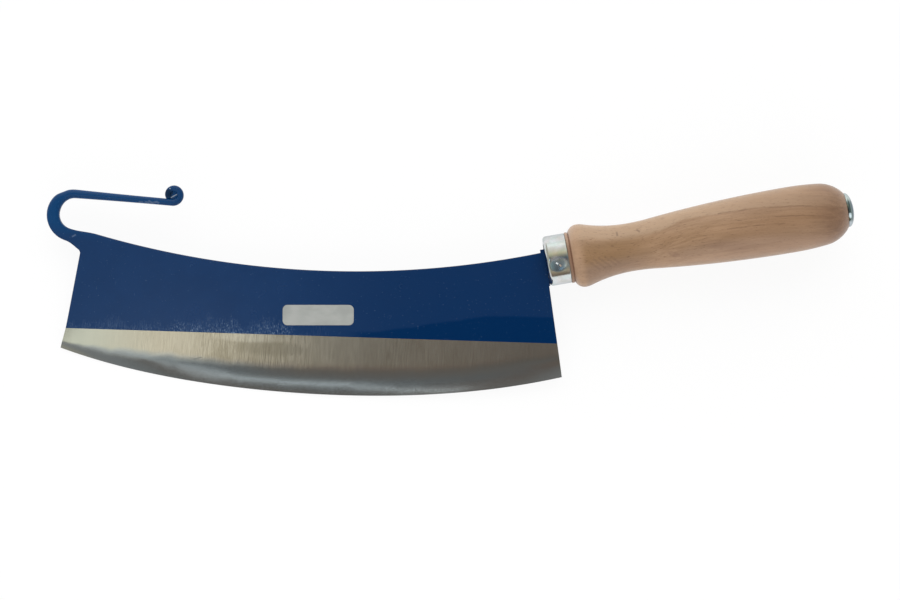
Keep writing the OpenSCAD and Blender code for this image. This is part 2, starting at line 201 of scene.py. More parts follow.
def line(a, b, steps):
    """Points on a straight line, both ends included."""
    return [a.lerp(b, i / steps) for i in range(steps + 1)]


def hermite(a, a_way, b, b_way, steps):
    """Points on a smooth curve between two points with given headings, both ends included."""
    reach = (b - a).length
    points = []
    for i in range(steps + 1):
        u = i / steps
        points.append(a * (1 + 2 * u) * (1 - u) ** 2 + a_way * reach * u * (1 - u) ** 2
                      + b * u * u * (3 - 2 * u) + b_way * reach * u * u * (u - 1))
    return points


class Shell:
    """Points and faces of one piece while it is being built."""

    def __init__(self):
        self.points = []
        self.faces = []
        self.finishes = []
        self.hone = {}

    def row(self, points):
        start = len(self.points)
        self.points.extend(points)
        return list(range(start, len(self.points)))

    def face(self, corners, finish=0):
        self.faces.append(corners)
        self.finishes.append(finish)

    def strip(self, a, b, finish=0, closed=False):
        count = len(a)
        for i in range(count if closed else count - 1):
            j = (i + 1) % count
            self.face([a[i], a[j], b[j], b[i]], finish)

    def strips(self, rows, finish=0, closed=False):
        for a, b in zip(rows, rows[1:]):
            self.strip(a, b, finish, closed)

    def lathe(self, profile, segments, finish=0, closed=False, shape=None):
        """Turns [station, radius] points about the axis; shape may change a point's radius."""
        rows = []
        for s, r in profile:
            points = []
            for k in range(segments):
                a = 2 * pi * k / segments
                radius = shape(s, r, a) if shape else r
                points.append((s, radius * cos(a), radius * sin(a)))
            rows.append(self.row(points))
        self.strips(rows + rows[:1] if closed else rows, finish, closed=True)


GRAIN = "grain"
MERGE = 0.004
SHARP_ANGLE = radians(34)
FLAT_CORNERS = 8


def add_to_scene(name, data):
    """Object of some data, in the scene."""
    made = bpy.data.objects.new(name, data)
    bpy.context.scene.collection.objects.link(made)
    return made


def make_piece(name, build, place, finishes, node=None):
    """Builds a piece, lays it in the row frame and ties it to the part."""
    shell = Shell()
    build(shell)
    mesh = bpy.data.meshes.new(name)
    mesh.from_pydata([tuple(p) for p in shell.points], [], shell.faces)
    mesh.polygons.foreach_set("material_index", shell.finishes)
    hone = mesh.attributes.new("hone", "FLOAT", "POINT")
    for index, value in shell.hone.items():
        hone.data[index].value = value
    bm = bmesh.new()
    bm.from_mesh(mesh)
    bmesh.ops.remove_doubles(bm, verts=bm.verts, dist=MERGE)
    bmesh.ops.dissolve_degenerate(bm, edges=bm.edges, dist=MERGE / 10)
    bmesh.ops.recalc_face_normals(bm, faces=bm.faces)
    for face in bm.faces:
        face.smooth = True
    for edge in bm.edges:
        two = len(edge.link_faces) == 2
        edge.smooth = two and edge.calc_face_angle() < SHARP_ANGLE
        if two:
            first, second = edge.link_faces
            flat_edge = max(len(first.verts), len(second.verts)) > FLAT_CORNERS
            if flat_edge or first.material_index != second.material_index:
                edge.smooth = False
    bm.to_mesh(mesh)
    bm.free()
    pos = mesh.attributes.new("pos", "FLOAT_VECTOR", "POINT")
    pos.data.foreach_set("vector", [c for v in mesh.vertices for c in v.co])
    grain = mesh.uv_layers.new(name=GRAIN)
    for loop in mesh.loops:
        x, y, _ = mesh.vertices[loop.vertex_index].co
        grain.data[loop.index].uv = (x / EDGE_CHORD, y / EDGE_CHORD)
    mesh.transform(place)
    for finish in finishes:
        mesh.materials.append(finish)
    piece = add_to_scene(name, mesh)
    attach(piece, "root")
    if node:
        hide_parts(node)


# Blade

# Finishes of the blade besides its lacquer, which is 0
STEEL, ZINC = 1, 2

BEVEL_COLUMNS, BEVEL_ROWS = 240, 36
ARRIS, ARRIS_STEPS, ARRIS_FADE = 0.45, 4, 6
SHOULDER_ARRIS = 0.22
GATE_ANGLE = radians(252)
GATE_STEPS = 3
ROOT_BLEND = 5
RISE_STEPS, SPINE_STEPS, BLEND_STEPS = 14, 110, 18

# Where the bevel's roll starts, as shares of its depth, and along it as shares of the chord
ROLL_TOE, ROLL_HEEL, ROLL_GAIN = 0.49, 0.42, 1.5
TOE_LATER, TOE_SPAN, HEEL_EARLIER, HEEL_FROM = 0.11, 0.14, 0.16, 0.75
EARLY, EARLY_AT, EARLY_SPAN = 0.068, 0.2, 0.14
KINK, KINK_SPAN_TOE, KINK_SPAN, KINK_FROM, KINK_RUN = 0.8, 0.42, 0.28, 0.08, 0.2

# Waves of the roll's start: height, length and shift; they fade to a rest along the chord
WOBBLE = ((0.024, 19, 0.3), (0.016, 11.5, 1.7), (0.008, 6.5, 4))
WOBBLE_REST, WOBBLE_FADE = 0.35, 0.4


def grind_slope(q, start, span):
    """Steepness of the bevel at a share of its depth: flat, then a soft kink and a roll to the edge."""
    roll = max(0, q - start) / (1 - start)
    return 1 + KINK * ramp((q - start) / span) + ROLL_GAIN * roll


def roll_start(u):
    """Share of the bevel's depth where its roll starts, at a share of the chord from the toe."""
    later = TOE_LATER * ramp(1 - u / TOE_SPAN) - HEEL_EARLIER * ramp((u - HEEL_FROM) / (1 - HEEL_FROM))
    early = EARLY * bell(u, EARLY_AT, EARLY_SPAN)
    turns = [(h, 2 * pi * u * EDGE_CHORD / span + shift) for h, span, shift in WOBBLE]
    uneven = mix(1, WOBBLE_REST, ramp(u / WOBBLE_FADE)) * sum(h * sin(turn) for h, turn in turns)
    return mix(ROLL_TOE, ROLL_HEEL, u) + later - early + uneven


def bevel_column(u):
    """Points of one column of the near bevel from the grind line to the edge, with their honing."""
    top = toe_grind.lerp(heel_grind, u)
    foot_x = mix(toe.x, heel.x, u)
    foot = Vector((foot_x, edge_y(foot_x)))
    start = roll_start(u)
    span = mix(KINK_SPAN_TOE, KINK_SPAN, ramp((u - KINK_FROM) / KINK_RUN))
    falls = [grind_slope((k + 0.5) / BEVEL_ROWS, start, span) for k in range(BEVEL_ROWS)]
    column = []
    for k in range(BEVEL_ROWS + 1):
        q = k / BEVEL_ROWS
        fallen = (HALF_T - EDGE_T / 2) * sum(falls[:k]) / sum(falls)
        point = top.lerp(foot, q)
        hone = max(0, q - start) / (1 - start)
        column.append(((point.x, point.y, HALF_T - fallen), hone))
    return column


def spine_side():
    """Outline from the heel's grind line over the shoulder and the spine to the hook's gate."""
    spine_axis = spine_c @ Matrix.Rotation(HANG, 2)
    tan_heel = tan(HEEL_LEAN)
    sin_h, cos_h = sin(HANG), cos(HANG)
    meet_h = (heel.x * sin_h - heel.y * cos_h - SHOULDER_DOWN) / (tan_heel * sin_h + cos_h)
    meet = heel + meet_h * Vector((-tan_heel, 1))
    spine_start = axis_to_tool(-SHOULDER_L, under(spine_axis, SPINE_R, -SHOULDER_L))
    blend_x = root.x + ROOT_BLEND
    spine_xs = [mix(spine_start.x, blend_x, i / SPINE_STEPS) for i in range(SPINE_STEPS + 1)]
    spine = [Vector((x, under(spine_c, SPINE_R, x))) for x in spine_xs]
    spine_way = (spine[-1] - spine[-2]).normalized()
    gate = bend_c + (BEND_R - BAR_W / 2) * heading(GATE_ANGLE)
    rising = line(heel_grind, meet, RISE_STEPS)
    shoulder = [
        rising[-1],
        axis_to_tool(0, -SHOULDER_DOWN),
        axis_to_tool(0, SHOULDER_UP),
        axis_to_tool(-SHOULDER_L, SHOULDER_UP),
        spine[0],
    ]
    blend = hermite(spine[-1], spine_way, gate, heading(GATE_ANGLE - RIGHT), BLEND_STEPS)
    outline = [(p, ARRIS) for p in rising[:-1]] + [(p, SHOULDER_ARRIS) for p in shoulder]
    return outline + [(p, ARRIS) for p in spine[1:] + blend[1:]]


WEB_TURN, WEB_SHARE, WEB_LEAD = 0.262, 0.4, 0.06
LEAD_STEPS, WEB_STEPS, CORNER_STEPS, TOE_STEPS = 3, 12, 8, 16


def toe_side():
    """Outline from the hook's gate round the web's corner and down the toe to the grind line."""
    web = bend_c - (BEND_R + WEB_SHARE * BAR_W) * Vector((sin(WEB_TURN), cos(WEB_TURN)))
    web_way = (toe_top - web).normalized()
    toe_way = (toe - toe_top).normalized()
    half = acos(-web_way.dot(toe_way)) / 2
    inward = (toe_way - web_way).normalized()
    corner_c = toe_top + CORNER_R / sin(half) * inward
    corner_a = atan2(-inward.y, -inward.x)
    spread = RIGHT - half
    start = arc(bend_c, BEND_R + BAR_W / 2, GATE_ANGLE, GATE_ANGLE + WEB_LEAD, LEAD_STEPS)
    start_way = (start[-1] - start[-2]).normalized()
    corner = arc(corner_c, CORNER_R, corner_a - spread, corner_a + spread, CORNER_STEPS)
    if (corner[0] - web).length > (corner[-1] - web).length:
        corner.reverse()
    points = start + hermite(start[-1], start_way, corner[0], web_way, WEB_STEPS)[1:] + corner[1:]
    points += line(corner[-1], toe_grind, TOE_STEPS)[1:]
    return [(p, ARRIS) for p in points]


def inward_ways(points, first=None, last=None):
    """Mitred directions into the plate, which lies on the left of the outline."""
    count = len(points)
    sides = []
    for i in range(count - 1):
        way = (points[i + 1] - points[i]).normalized()
        sides.append(Vector((-way.y, way.x)))
    ways = []
    for i in range(count):
        before = sides[max(0, i - 1)]
        after = sides[min(count - 2, i)]
        ways.append((before + after) / (1 + before.dot(after)))
    ways[0] = first or ways[0]
    ways[-1] = last or ways[-1]
    return ways


def bar_section(w_in, w_out, t, corner):
    """Round-cornered section of the bar: (side, rise) points; side is positive outwards."""
    quarters = []
    for k, (side, rise) in enumerate(((w_out, t), (-w_in, t), (-w_in, -t), (w_out, -t))):
        middle = (side - copysign(corner, side), rise / 2 - copysign(corner, rise))
        quarters.append(arc(middle, corner, k * RIGHT, (k + 1) * RIGHT, ARRIS_STEPS))

    def flat_points(start, end):
        return line(start, end, GATE_STEPS + 1)[1:-1]

    points = [Vector((w_out, 0)), *quarters[0]]
    points += [*flat_points(quarters[0][-1], quarters[1][0]), *quarters[1], Vector((-w_in, 0))]
    points += [*quarters[2], *flat_points(quarters[2][-1], quarters[3][0]), *quarters[3]]
    return points


def bar_ring(at, angle, section):
    """Section of the bar at a point, square to its heading."""
    across = heading(angle + RIGHT)
    return [(at.x + p.x * across.x, at.y + p.x * across.y, p.y) for p in section]


# Rings along the hook, and where on the bend, as shares of it, the bar is drawn down and rounded
BEND_STEPS, ARM_STEPS, SCROLL_STEPS, TIP_STEPS = 56, 24, 56, 5
DRAWN_FROM, THIN_RUN, ROUND_AT, ROUNDNESS = 0.55, 0.2, 0.8, 0.93
TIP_TURN = radians(80)

# Marks of the hammer on the bend: angle, spread and height
HAMMER_MARKS = ((radians(119), 0.16, -0.24), (radians(141), 0.18, 0.12))


def round_ring(at, angle, w):
    """Ring of the bar where it is round."""
    return bar_ring(at, angle, bar_section(w / 2, w / 2, w, ROUNDNESS * w / 2))


def hook_rings():
    """Rings of the carrying hook from its gate in the plate to the tip of the scroll."""
    rings = []
    gate_u = (bend_start - GATE_ANGLE) / (bend_start - bend_end)
    for i in range(BEND_STEPS + 1):
        a = mix(GATE_ANGLE, bend_end, i / BEND_STEPS)
        u = (bend_start - a) / (bend_start - bend_end)
        drawn = ramp((u - DRAWN_FROM) / (1 - DRAWN_FROM))
        w = mix(BAR_W, ARM_W, drawn)
        t = mix(BLADE_T, mix(BAR_T, ARM_W, drawn), ramp((u - gate_u) / THIN_RUN))
        corner = mix(ARRIS, ROUNDNESS * min(w, t) / 2, ramp((u - gate_u) / (ROUND_AT - gate_u)))
        dint = sum(h * bell(a, at, spread) for at, spread, h in HAMMER_MARKS)
        section = bar_section(w / 2, w / 2 + dint, t, corner)
        rings.append(bar_ring(bend_c + BEND_R * heading(a), a - RIGHT, section))
    for i in range(1, ARM_STEPS + 1):
        u = i / ARM_STEPS
        w = SCROLL_W + (ARM_W - SCROLL_W) * (1 - u) ** 2
        rings.append(round_ring(arm_start + ARM_L * u * arm_way, -ARM_FALL, w))
    for i in range(1, SCROLL_STEPS + 1):
        u = i / SCROLL_STEPS
        turn = SCROLL_TURN * u - ARM_FALL
        at = scroll_c + mix(SCROLL_R, SCROLL_TIP_R, u) * heading(turn - RIGHT)
        rings.append(round_ring(at, turn, mix(SCROLL_W, TIP_W, u)))
    for i in range(1, TIP_STEPS + 1):
        a = TIP_TURN * i / TIP_STEPS
        rings.append(round_ring(at + TIP_W / 2 * sin(a) * heading(turn), turn, TIP_W * cos(a)))
    return rings


def plate_half(shell, side):
    """One half of the plate, from its middle plane to one cheek."""
    gate_way = heading(GATE_ANGLE)
    rims = []
    middles = []
    for outline, first, last in ((spine_side(), None, gate_way), (toe_side(), -gate_way, None)):
        points = [p for p, _ in outline]
        ways = inward_ways(points, first, last)
        end = heel_grind if last else toe_grind
        arrises = [r * ramp((p - end).length / ARRIS_FADE) for p, r in outline]
        rows = [shell.row([(p.x, p.y, 0) for p in points])]
        for k in range(ARRIS_STEPS + 1):
            a = RIGHT * k / ARRIS_STEPS
            ring = []
            for p, way, r in zip(points, ways, arrises):
                q = p + way * r * (1 - cos(a))
                ring.append((q.x, q.y, side * (HALF_T - r + r * sin(a))))
            rows.append(shell.row(ring))
        shell.strips(rows)
        rims.append(rows[-1])
        middles.append(rows[0])
    columns = [bevel_column(i / BEVEL_COLUMNS) for i in range(BEVEL_COLUMNS + 1)]
    bevel = []
    for k in range(BEVEL_ROWS + 1):
        row = shell.row([(p[0], p[1], side * p[2]) for p, _ in (c[k] for c in columns)])
        for index, column in zip(row, columns):
            shell.hone[index] = column[k][1]
        bevel.append(row)
    edge = shell.row([(c[-1][0][0], c[-1][0][1], 0) for c in columns])
    for index in edge:
        shell.hone[index] = 1
    shell.strips([*bevel, edge], STEEL)
    for middle, column in ((middles[0][0], -1), (middles[1][-1], 0)):
        shell.face([middle, *[row[column] for row in bevel], edge[column]])
    gate = bar_section(BAR_W / 2, BAR_W / 2, BLADE_T, ARRIS)
    first = 1 + ARRIS_STEPS + 1
    gate_ring = bar_ring(bend_c + BEND_R * gate_way, GATE_ANGLE - RIGHT, gate)
    across = shell.row([(p[0], p[1], side * p[2]) for p in gate_ring[first:first + GATE_STEPS]])
    shell.face([*rims[0], *reversed(across), *rims[1], *bevel[0]])


def lens(shell, centre, r, h, rings=16, segments=28):
    """Closed flat ball in the tool frame."""
    rows = []
    for i in range(rings + 1):
        a = pi * i / rings
        ring = arc(centre, r * sin(a), 0, 2 * pi, segments)[:-1]
        rows.append(shell.row([(p.x, p.y, h * cos(a)) for p in ring]))
    shell.strips(rows, closed=True)


STEM_LAP, HEAD_SINK, HEAD_EDGE, HEAD_RINGS = 2, 0.1, 0.05, 11
PEEN = ((0.008, 5, 1), (0.005, 8, 0))


def tang_and_stem(shell):
    """Flat tang inside the handle and the round stem, riveted over the cap."""
    start = len(shell.points)
    ends = []
    for s, w in ((-SHOULDER_L / 2, TANG_W), (TANG_L, TANG_END_W)):
        ends.append(shell.row([(s, i * w / 2, k * TANG_T / 2) for i, k in CORNERS]))
    shell.strip(*ends, closed=True)
    shell.face(ends[0])
    shell.face(ends[1])
    stem_s = TANG_L - STEM_LAP
    sink = dome_s(RIVET_R) - (RIVET_R - STEM_R)
    profile = [(stem_s, 0), (stem_s, STEM_R), (sink, STEM_R), (dome_s(RIVET_R) - HEAD_SINK, RIVET_R)]
    for i in range(HEAD_RINGS + 1):
        r = (RIVET_R - HEAD_EDGE) * (1 - i / HEAD_RINGS)
        profile.append((dome_s(r) + RIVET_H * (1 - (r / RIVET_R) ** 2), r))

    def peened(s, r, a):
        uneven = sum(share * sin(waves * a + shift) for share, waves, shift in PEEN)
        return r * (1 + uneven) if s > sink else r

    shell.lathe(profile, 64, ZINC, shape=peened)
    for i in range(start, len(shell.points)):
        s, t, z = shell.points[i]
        shell.points[i] = (*axis_to_tool(s, t), z)


def build_blade(shell):
    """The forging: plate with rolled bevels, carrying hook, tang and riveted stem."""
    plate_half(shell, 1)
    plate_half(shell, -1)
    rings = [shell.row(ring) for ring in hook_rings()]
    shell.strips(rings, closed=True)
    shell.face(rings[-1])
    lens(shell, scroll_c, EYE_R, EYE_HALF_T)
    tang_and_stem(shell)


# Ferrule, handle and cap

def soft_min(a, b, k):
    """Smaller of two values with a rounded change from one to the other."""
    h = max(k - abs(a - b), 0) / k
    return min(a, b) - h * h * k / 4


MARK_R, MARK_DEPTH = 0.75, 0.25
REAR_R, FRONT_STEPS, LIP_STEPS, WALL_STEPS = 0.3, 3, 14, 56
DENT_SOFT, DENT_REACH = 0.3, 1


def build_ferrule(shell):
    """Pressed cup with a rolled lip, dented by a punch whose point left a mark."""
    inner_r = FERRULE_R - FERRULE_WALL
    lip = FERRULE_R - LIP_R
    rear_s = FERRULE_L - REAR_R
    profile = [(0, mix(MOUTH_R, lip, i / FRONT_STEPS)) for i in range(FRONT_STEPS)]
    profile += arc((LIP_R, lip), LIP_R, pi, RIGHT, LIP_STEPS)
    profile += [(mix(LIP_R, rear_s, i / WALL_STEPS), FERRULE_R) for i in range(1, WALL_STEPS)]
    profile += arc((rear_s, FERRULE_R - REAR_R), REAR_R, RIGHT, 0, 4)
    profile += [(FERRULE_L, inner_r), (LIP_R, inner_r), (FERRULE_WALL, lip), (FERRULE_WALL, MOUTH_R)]
    punch_c = FERRULE_R - DENT_DEPTH + DENT_R
    dent_way = RIGHT + DENT_TURN

    def dented(s, r, a):
        if r < inner_r + REAR_R:
            return r
        off = atan2(sin(a - dent_way), cos(a - dent_way))
        along = punch_c * cos(off)
        room = along ** 2 - (punch_c ** 2 + (s - DENT_AT) ** 2 - DENT_R ** 2)
        if room <= 0 or abs(off) > DENT_REACH:
            return r
        away = hypot(s - DENT_AT, FERRULE_R * off)
        mark = MARK_DEPTH * max(0, 1 - away / MARK_R) ** 2
        return soft_min(r, along - sqrt(room), DENT_SOFT) - mark

    shell.lathe(profile, 320, closed=True, shape=dented)


GROOVE_W, GROOVE_D, COLLAR_EDGE = 0.55, 0.4, 0.3


def build_handle(shell):
    """Turned grip: spigot, collar, a cut line, then the swell, the neck, the belly and the butt."""
    front = FERRULE_L + FIT_GAP
    spigot_s = FERRULE_WALL + FIT_GAP
    spigot_r = FERRULE_R - FERRULE_WALL - FIT_GAP
    profile = [
        (spigot_s, 0),
        (spigot_s, FERRULE_R - LIP_R - FIT_GAP),
        (LIP_R + FIT_GAP, spigot_r),
        (front, spigot_r),
    ]
    profile += arc((front + COLLAR_EDGE, COLLAR_R - COLLAR_EDGE), COLLAR_EDGE, pi, RIGHT, 4)
    profile += [(collar_s - GROOVE_W, COLLAR_R), (collar_s - GROOVE_W / 2, COLLAR_R - GROOVE_D)]

    # Each run: its centre, its radius, the angles where it starts and ends, its steps
    low = 3 * RIGHT
    haunch_a = RIGHT - HAUNCH_TURN
    runs = (
        ((swell_s, SWELL_R - SWELL_FRONT_ARC), SWELL_FRONT_ARC, RIGHT + swell_face, RIGHT, 20),
        ((swell_s, SWELL_R - SWELL_BACK_ARC), SWELL_BACK_ARC, RIGHT, RIGHT - swell_turn, 8),
        ((neck_s, NECK_R + NECK_FRONT_ARC), NECK_FRONT_ARC, low - swell_turn, low, 24),
        ((neck_s, NECK_R + NECK_BACK_ARC), NECK_BACK_ARC, low, low + belly_turn, 16),
        ((belly_s, BELLY_R - BELLY_ARC), BELLY_ARC, RIGHT + belly_turn, RIGHT, 50),
        ((belly_s, BELLY_R - HAUNCH_ARC), HAUNCH_ARC, RIGHT, haunch_a, 14),
        (butt_c, BUTT_ARC, haunch_a, RIGHT - butt_turn, 22),
    )
    for i, run in enumerate(runs):
        profile += arc(*run)[1 if i else 0:]
    profile.append((butt_s, 0))
    shell.lathe(profile, 176)


CAP_GAP, CAP_EDGE, SINK_GAP, DOME_STEPS = 0.15, 0.15, 0.1, 24


def build_cap(shell):
    """Domed washer with a countersink for the riveted head."""
    hole = STEM_R + CAP_GAP
    dome_in = acos((RIVET_R + SINK_GAP) / CAP_R)
    profile = [(butt_s, hole), (butt_s, CAP_R - CAP_EDGE), (butt_s + CAP_EDGE, CAP_R)]
    for i in range(DOME_STEPS + 1):
        r = CAP_R * cos(dome_in * i / DOME_STEPS)
        profile.append((dome_s(r), r))
    profile.append((dome_s(RIVET_R) - (RIVET_R - STEM_R), hole))
    shell.lathe(profile, 128, closed=True)


# Label

LABEL_FROM, LABEL_TO = Vector((282.9, 304.9)), Vector((353.9, 325.2))
LABEL_R, LABEL_T, LABEL_SOFT = 2.3, 0.12, 0.05


def build_label(shell):
    """Bare film label with round corners, lying on the cheek."""
    w, h = (LABEL_TO - LABEL_FROM) * PHOTO_SCALE
    middle = photo_point(*(LABEL_FROM + LABEL_TO) / 2)
    turn = Matrix.Rotation(-PHOTO_TURN, 2)
    rings = []
    for inset, rise in ((0, 0), (0, LABEL_T - LABEL_SOFT), (LABEL_SOFT, LABEL_T)):
        points = []
        for k, (sx, sy) in enumerate(CORNERS):
            centre = (sx * (w / 2 - LABEL_R), sy * (h / 2 - LABEL_R))
            points += arc(centre, LABEL_R - inset, k * RIGHT, (k + 1) * RIGHT, 10)
        rings.append(shell.row([(*(middle + p @ turn), HALF_T + rise) for p in points]))
    shell.strips(rings, closed=True)
    shell.face(rings[0])
    shell.face(rings[-1])


# Materials

STROKE_CORE, PATCH_CORE = 0.2, 0.1


class Net:
    """Adds nodes to a material or the world and wires them."""

    def __init__(self, owner, base=None):
        owner.use_nodes = True
        self.owner = owner
        self.base = base
        self.tree = owner.node_tree
        self.tree.nodes.clear()

    def add(self, kind, inputs=None, **settings):
        node = self.tree.nodes.new(kind)
        for key, value in settings.items():
            setattr(node, key, value)
        for key, value in (inputs or {}).items():
            self.feed(node.inputs[key], value)
        return node

    def feed(self, socket, value):
        if isinstance(value, bpy.types.NodeSocket):
            self.tree.links.new(value, socket)
        else:
            socket.default_value = value

    def attribute(self, name, output):
        return self.add("ShaderNodeAttribute", attribute_name=name).outputs[output]

    def split(self, vector):
        return self.add("ShaderNodeSeparateXYZ", {0: vector}).outputs

    def math(self, operation, a, b=0, c=0):
        return self.add("ShaderNodeMath", {0: a, 1: b, 2: c}, operation=operation).outputs[0]

    def plus(self, a, b):
        return self.math("ADD", a, b)

    def minus(self, a, b):
        return self.math("SUBTRACT", a, b)

    def most(self, a, b):
        return self.math("MAXIMUM", a, b)

    def scaled(self, value, share, start):
        """Value times share, added to start."""
        return self.math("MULTIPLY_ADD", value, share, start)

    def squared(self, value, zero=0):
        """Square of a value's distance from zero."""
        return self.math("POWER", self.minus(value, zero), 2)

    def size(self, value):
        return self.math("ABSOLUTE", value)

    def times(self, *values):
        """Product of values; a tuple stands for the step with these arguments."""
        factors = [self.step(*value) if isinstance(value, tuple) else value for value in values]
        product = factors[0]
        for factor in factors[1:]:
            product = self.math("MULTIPLY", product, factor)
        return product

    def vector(self, operation, a, b, output=0):
        return self.add("ShaderNodeVectorMath", {0: a, 1: b}, operation=operation).outputs[output]

    def noise(self, vector, stretch=(1, 1, 1), detail=2, rough=0.5, warp=0):
        stretched = self.vector("MULTIPLY", vector, stretch)
        inputs = {"Vector": stretched, "Scale": 1, "Detail": detail, "Roughness": rough,
                  "Distortion": warp}
        return self.add("ShaderNodeTexNoise", inputs).outputs[0]

    def step(self, value, low, high, to_low=0, to_high=1):
        inputs = {0: value, 1: low, 2: high, 3: to_low, 4: to_high}
        return self.add("ShaderNodeMapRange", inputs, interpolation_type="SMOOTHSTEP").outputs[0]

    def mix(self, share, a, b):
        return self.add("ShaderNodeMix", {0: share, 6: a, 7: b}, data_type="RGBA").outputs[2]

    def lay(self, rgb, *shares):
        """Lays a colour, given as sRGB values, over the base by the product of its shares."""
        self.base = self.mix(self.times(*shares), self.base, colour(*rgb))

    def along_and_beside(self, x, y, start, end):
        """Distances from the middle of a line, along it and beside it."""
        way = (end - start).normalized()
        middle = (start + end) / 2
        dx = self.minus(x, middle.x)
        dy = self.minus(y, middle.y)
        along = self.plus(self.times(dx, way.x), self.times(dy, way.y))
        return along, self.minus(self.times(dx, way.y), self.times(dy, way.x))

    def stroke(self, x, y, start, end, w):
        """1 on a short straight mark between two points, 0 away from it."""
        along, beside = self.along_and_beside(x, y, start, end)
        past = self.minus(self.size(along), (end - start).length / 2)
        return self.step(self.most(self.size(beside), past), STROKE_CORE * w, w, 1, 0)

    def patch(self, x, y, start, end, w):
        """1 in the middle of a soft oval between two points, 0 outside it."""
        along, beside = self.along_and_beside(x, y, start, end)
        along = self.squared(self.times(along, 2 / (end - start).length))
        return self.step(self.plus(along, self.squared(self.times(beside, 1 / w))), 1, PATCH_CORE)

    def marks(self, kind, at, place, table, keep):
        """Lays marks, given by their ends' pixels, width, share and colour, where keep lets them."""
        laid = []
        for ends, w, share, rgb in table:
            start, end = (place(*pixel) for pixel in ends)
            mark = self.times(kind(*at, start, end, w), keep, share)
            self.lay(rgb, mark)
            laid.append(mark)
        return laid

    def surface(self, rough, height, depth, more=None):
        """Ends a material with its shader, over a relief of some millimetres, and gives the material."""
        relief = self.add("ShaderNodeBump", {"Height": height, "Distance": depth * MM, "Strength": 1})
        inputs = {"Base Color": self.base, "Roughness": rough, "Normal": relief.outputs[0]}
        shader = self.add("ShaderNodeBsdfPrincipled", {**inputs, **(more or {})})
        self.add("ShaderNodeOutputMaterial", {"Surface": shader.outputs[0]})
        return self.owner


def colour(r, g, b):
    """Linear colour from sRGB values of 0 to 255."""
    def linear(v):
        v /= 255
        return v / 12.92 if v <= 0.04045 else ((v + 0.055) / 1.055) ** 2.4
    return (linear(r), linear(g), linear(b), 1)


def new_material(name, rgb):
    """Net of a new material with its first colour, and the place on the piece in millimetres."""
    net = Net(bpy.data.materials.new(name), colour(*rgb))
    return net, net.attribute("pos", "Vector")


# Stretches of the lacquer, as the places along X, or Y, where a change starts and is done
HEEL_SHADE, SHINE_FALL = (-130, -70), (-130, -50)
DARK_REFLECTION_START, DARK_REFLECTION_RISE = (-96, -80), (-92, -15)
HOOK_X, HOOK_Y = (-165, -185), (-4, 6)
DENSE_START, DENSE_END, DRAG_END = (-184, -170), (-112, -128), (-96, -128)

# Marks on the lacquer: a chip at the hook's root, specks on its arm, painted highlights as glints in the
# scroll, and painted shade in the scroll's eye, off its centre
ROOT_CHIP = ((73.2, 236.5), (75.8, 235.1))
ARM_SPECKS = (
    ((140, 202.2), (142.4, 202.5)),
    ((146, 202.4), (148.6, 202.9)),
    ((149.6, 201.2), (151.4, 202.6)),
    ((153, 203), (155.4, 202.2)),
    ((157.2, 202), (158.6, 203)),
)
SCROLL_PAINTED_GLINTS = (((169.9, 188.5), (170.5, 188.6)), ((171.4, 197.4), (176.9, 194.5)))
LACQUER_STROKES = (
    (ROOT_CHIP, 0.55, 0.3, (126, 142, 166)),
    *[(ends, 0.7, 0.2, (150, 165, 185)) for ends in ARM_SPECKS],
    *[(ends, 0.35, 0.7, (160, 170, 178)) for ends in SCROLL_PAINTED_GLINTS],
)
# Offset from the scroll's centre of the painted shade in its eye
EYE_SHADE_OFF = Vector((-2.2, 0.5))


